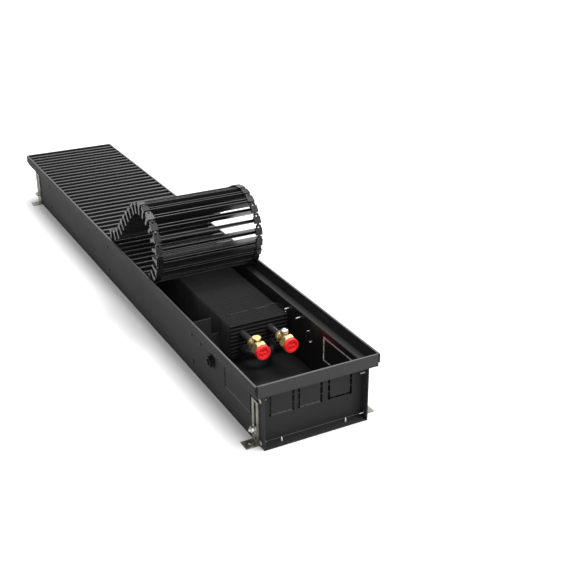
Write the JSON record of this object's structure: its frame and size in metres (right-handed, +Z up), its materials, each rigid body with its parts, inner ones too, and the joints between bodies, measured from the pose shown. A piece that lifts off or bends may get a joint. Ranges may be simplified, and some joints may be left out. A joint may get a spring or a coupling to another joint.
{
  "type": "trench convector heater",
  "caption": "Long in-floor trench heater: sheet-steel trough on height-adjustable feet, finned-tube heat exchanger with pipe connections, and a linear grille that rolls up.",
  "frame": {"origin": "middle of the trough's underside, on the floor level that the foot plates stand on", "axes": "+Y along the trough away from the pipe connections, +Z up out of the open top, +X to the right seen from the connection end; the fin block stands nearer to the +X wall"},
  "size_m": [0.2146, 1.2, 0.2339],
  "materials": {
    "casing_coat": "satin powder coat",
    "fin_coat": "black coated",
    "exchanger_coat": "satin black",
    "grille_metal": "black anodised",
    "link_plastic": "matte",
    "zinc_sheet": "galvanised",
    "zinc_screws": "zinc plated",
    "brass": "satin",
    "nickel": "polished",
    "red_plastic": "gloss",
    "black_rubber": "matte"
  },
  "bodies": {
    "casing": {"trough": "casing_coat", "end_rail_near": "casing_coat", "end_rail_far": "casing_coat", "end_panel_near": "casing_coat", "end_panel_far": "casing_coat", "panel_screws": "zinc_screws", "floor_screws": "zinc_screws", "cable_plug": "black_rubber", "foot_bolts": "zinc_screws", "foot_washers": "zinc_screws", "foot_nuts": "zinc_screws", "exchanger_fins": "fin_coat", "exchanger_end_fins": "fin_coat", "exchanger_tubes": "exchanger_coat", "return_bends": "exchanger_coat", "support_plate_near": "exchanger_coat", "support_plate_mid": "exchanger_coat", "support_plate_far": "exchanger_coat", "support_screws": "zinc_screws", "union_nuts": "brass", "connector_left": "brass", "connector_right": "brass", "drain_plug": "brass"},
    "foot_near_left": {"foot_bracket_near_left": "zinc_sheet"},
    "foot_near_right": {"foot_bracket_near_right": "zinc_sheet"},
    "foot_far_left": {"foot_bracket_far_left": "zinc_sheet"},
    "foot_far_right": {"foot_bracket_far_right": "zinc_sheet"},
    "vent_knob": {"air_vent_knob": "nickel"},
    "cap_left": {"protective_cap_left": "red_plastic"},
    "cap_right": {"protective_cap_right": "red_plastic"},
    "grille": {"grille_slats_flat": "grille_metal", "grille_links_flat": "link_plastic"},
    "slat_01": {"grille_slat_01": "grille_metal"},
    "slat_02": {"grille_slat_02": "grille_metal"},
    "slat_03": {"grille_slat_03": "grille_metal"},
    "slat_04": {"grille_slat_04": "grille_metal"},
    "slat_05": {"grille_slat_05": "grille_metal"},
    "slat_06": {"grille_slat_06": "grille_metal"},
    "slat_07": {"grille_slat_07": "grille_metal"},
    "slat_08": {"grille_slat_08": "grille_metal"},
    "slat_09": {"grille_slat_09": "grille_metal"},
    "slat_10": {"grille_slat_10": "grille_metal"},
    "slat_11": {"grille_slat_11": "grille_metal"},
    "slat_12": {"grille_slat_12": "grille_metal"},
    "slat_13": {"grille_slat_13": "grille_metal"},
    "slat_14": {"grille_slat_14": "grille_metal"},
    "slat_15": {"grille_slat_15": "grille_metal"},
    "slat_16": {"grille_slat_16": "grille_metal"},
    "slat_17": {"grille_slat_17": "grille_metal"},
    "slat_18": {"grille_slat_18": "grille_metal"},
    "slat_19": {"grille_slat_19": "grille_metal"},
    "slat_20": {"grille_slat_20": "grille_metal"},
    "slat_21": {"grille_slat_21": "grille_metal"}
  },
  "joints": [
    {"name": "foot_near_left_height", "type": "slide", "parent": "casing", "child": "foot_near_left", "axis": [0, 0, 1], "range_m": [-0.04, 0]},
    {"name": "foot_near_right_height", "type": "slide", "parent": "casing", "child": "foot_near_right", "axis": [0, 0, 1], "range_m": [-0.04, 0]},
    {"name": "foot_far_left_height", "type": "slide", "parent": "casing", "child": "foot_far_left", "axis": [0, 0, 1], "range_m": [-0.04, 0]},
    {"name": "foot_far_right_height", "type": "slide", "parent": "casing", "child": "foot_far_right", "axis": [0, 0, 1], "range_m": [-0.04, 0]},
    {"name": "vent_turn", "type": "hinge", "parent": "casing", "child": "vent_knob", "pos_m": [0.0475, -0.404, 0.0688], "axis": [0, 0, 1], "range_deg": [0, 180]},
    {"name": "cap_left_pull", "type": "slide", "parent": "casing", "child": "cap_left", "axis": [0, -1, 0], "range_m": [0, 0.03]},
    {"name": "cap_right_pull", "type": "slide", "parent": "casing", "child": "cap_right", "axis": [0, -1, 0], "range_m": [0, 0.03]},
    {"name": "grille_lift", "type": "slide", "parent": "casing", "child": "grille", "axis": [0, 0, 1], "range_m": [0, 0.15]},
    {"name": "unroll_01", "type": "hinge", "parent": "grille", "child": "slat_01", "pos_m": [0, -0.17, 0.0933], "axis": [1, 0, 0], "range_deg": [0, 14]},
    {"name": "unroll_02", "type": "hinge", "parent": "slat_01", "child": "slat_02", "pos_m": [0, -0.18918, 0.09898], "axis": [1, 0, 0], "range_deg": [0, 14]},
    {"name": "unroll_03", "type": "hinge", "parent": "slat_02", "child": "slat_03", "pos_m": [0, -0.20595, 0.10987], "axis": [1, 0, 0], "range_deg": [0, 14]},
    {"name": "unroll_04", "type": "hinge", "parent": "slat_03", "child": "slat_04", "pos_m": [0, -0.21894, 0.12508], "axis": [1, 0, 0], "range_deg": [0, 14]},
    {"name": "unroll_05", "type": "hinge", "parent": "slat_04", "child": "slat_05", "pos_m": [0, -0.22707, 0.14335], "axis": [1, 0, 0], "range_deg": [0, 14]},
    {"name": "unroll_06", "type": "hinge", "parent": "slat_05", "child": "slat_06", "pos_m": [0, -0.22968, 0.16318], "axis": [1, 0, 0], "range_deg": [0, 14]},
    {"name": "unroll_07", "type": "hinge", "parent": "slat_06", "child": "slat_07", "pos_m": [0, -0.22656, 0.18293], "axis": [1, 0, 0], "range_deg": [0, 14]},
    {"name": "unroll_08", "type": "hinge", "parent": "slat_07", "child": "slat_08", "pos_m": [0, -0.21794, 0.20099], "axis": [1, 0, 0], "range_deg": [0, 14]},
    {"name": "unroll_09", "type": "hinge", "parent": "slat_08", "child": "slat_09", "pos_m": [0, -0.20456, 0.21585], "axis": [1, 0, 0], "range_deg": [0, 14]},
    {"name": "unroll_10", "type": "hinge", "parent": "slat_09", "child": "slat_10", "pos_m": [0, -0.18751, 0.2263], "axis": [1, 0, 0], "range_deg": [0, 14]},
    {"name": "unroll_11", "type": "hinge", "parent": "slat_10", "child": "slat_11", "pos_m": [0, -0.16819, 0.23148], "axis": [1, 0, 0], "range_deg": [0, 14]},
    {"name": "unroll_12", "type": "hinge", "parent": "slat_11", "child": "slat_12", "pos_m": [0, -0.1482, 0.23095], "axis": [1, 0, 0], "range_deg": [0, 14]},
    {"name": "unroll_13", "type": "hinge", "parent": "slat_12", "child": "slat_13", "pos_m": [0, -0.12918, 0.22477], "axis": [1, 0, 0], "range_deg": [0, 14]},
    {"name": "unroll_14", "type": "hinge", "parent": "slat_13", "child": "slat_14", "pos_m": [0, -0.11269, 0.21344], "axis": [1, 0, 0], "range_deg": [0, 2.14]},
    {"name": "unroll_15", "type": "hinge", "parent": "slat_14", "child": "slat_15", "pos_m": [0, -0.09665, 0.20151], "axis": [1, 0, 0], "range_deg": [0, 2.14]},
    {"name": "unroll_16", "type": "hinge", "parent": "slat_15", "child": "slat_16", "pos_m": [0, -0.08106, 0.18898], "axis": [1, 0, 0], "range_deg": [0, 2.14]},
    {"name": "unroll_17", "type": "hinge", "parent": "slat_16", "child": "slat_17", "pos_m": [0, -0.06594, 0.17588], "axis": [1, 0, 0], "range_deg": [0, 2.14]},
    {"name": "unroll_18", "type": "hinge", "parent": "slat_17", "child": "slat_18", "pos_m": [0, -0.05133, 0.16223], "axis": [1, 0, 0], "range_deg": [0, 2.14]},
    {"name": "unroll_19", "type": "hinge", "parent": "slat_18", "child": "slat_19", "pos_m": [0, -0.03724, 0.14803], "axis": [1, 0, 0], "range_deg": [0, 8]},
    {"name": "unroll_20", "type": "hinge", "parent": "slat_19", "child": "slat_20", "pos_m": [0, -0.0205, 0.13708], "axis": [1, 0, 0], "range_deg": [0, 8]},
    {"name": "unroll_21", "type": "hinge", "parent": "slat_20", "child": "slat_21", "pos_m": [0, -0.00186, 0.12985], "axis": [1, 0, 0], "range_deg": [0, 8]}
  ]
}
